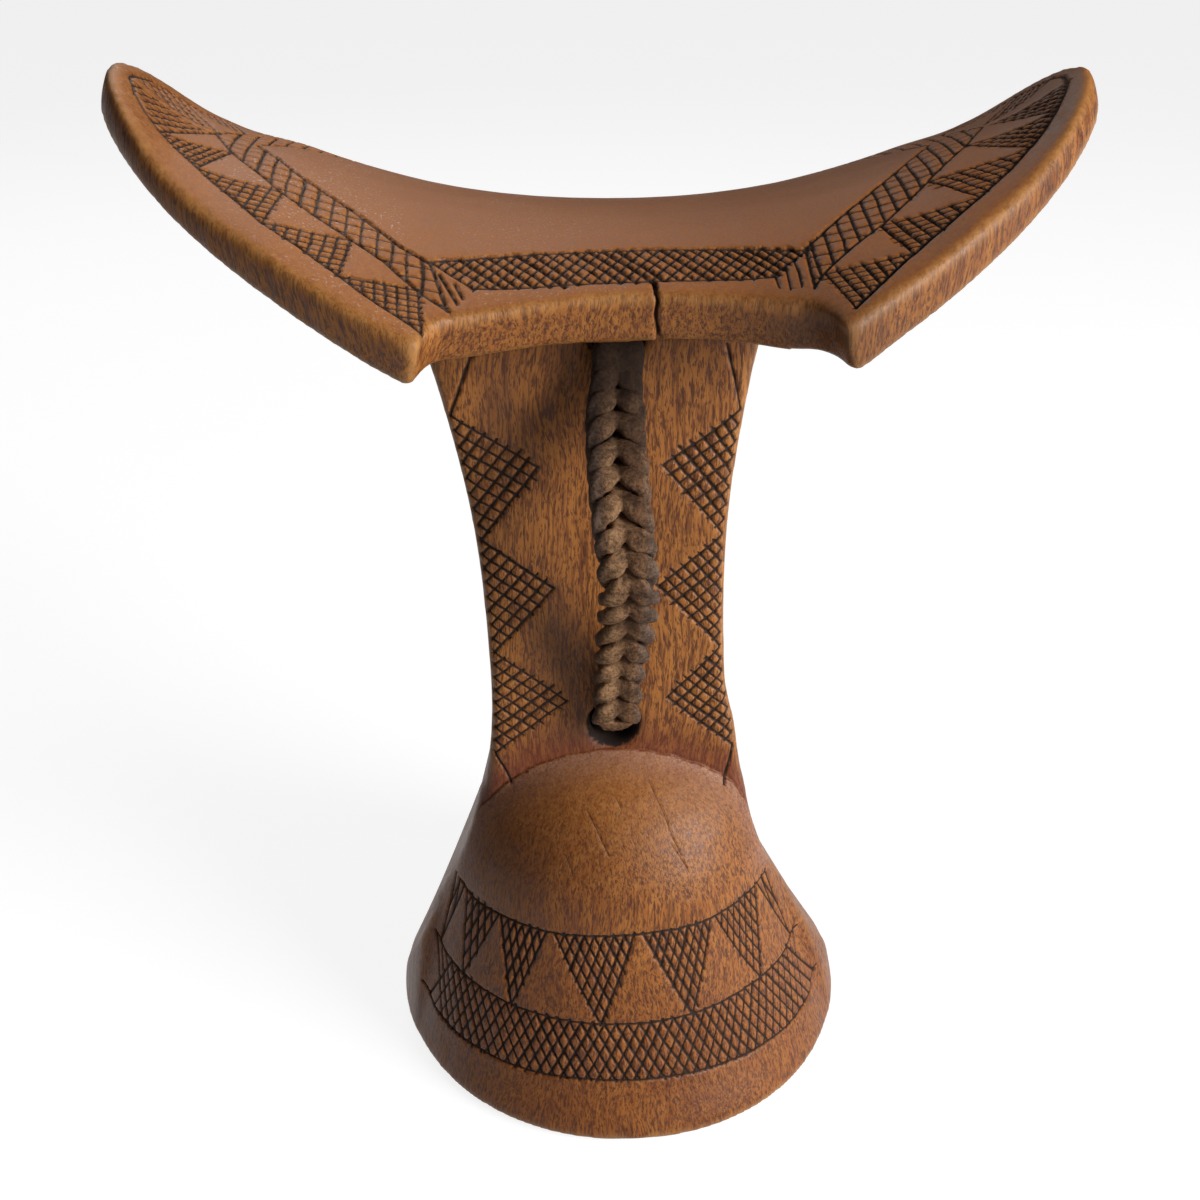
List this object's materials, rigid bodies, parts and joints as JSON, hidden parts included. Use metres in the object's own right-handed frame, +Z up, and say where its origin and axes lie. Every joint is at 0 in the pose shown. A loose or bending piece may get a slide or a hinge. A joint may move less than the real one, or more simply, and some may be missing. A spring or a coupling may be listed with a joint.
{
  "type": "carved wooden headrest",
  "caption": "Carved wooden neck rest: a saddle-shaped dish on a waisted slab column with a domed round foot, and a plaited leather carrying strap that swings.",
  "frame": {"origin": "on the floor under the middle of the dish", "axes": "+Z up, X from wing tip to wing tip, the strap hangs on the -Y side"},
  "size_m": [0.145, 0.0848, 0.1698],
  "materials": {
    "wood": "oiled and worn, with blackened incised lines",
    "strap_leather": "matt, worn",
    "tail_leather": "matt, worn"
  },
  "bodies": {
    "headrest": {"headrest_body": "wood", "upper_knot": "tail_leather", "lower_knot": "tail_leather"},
    "strap": {"upper_thong": "strap_leather", "lower_thong": "strap_leather"}
  },
  "joints": [
    {"name": "strap_swing", "type": "hinge", "parent": "headrest", "child": "strap", "pos_m": [0, -0.0189, 0], "axis": [0, 0, 1], "range_deg": [-75, 75]}
  ]
}
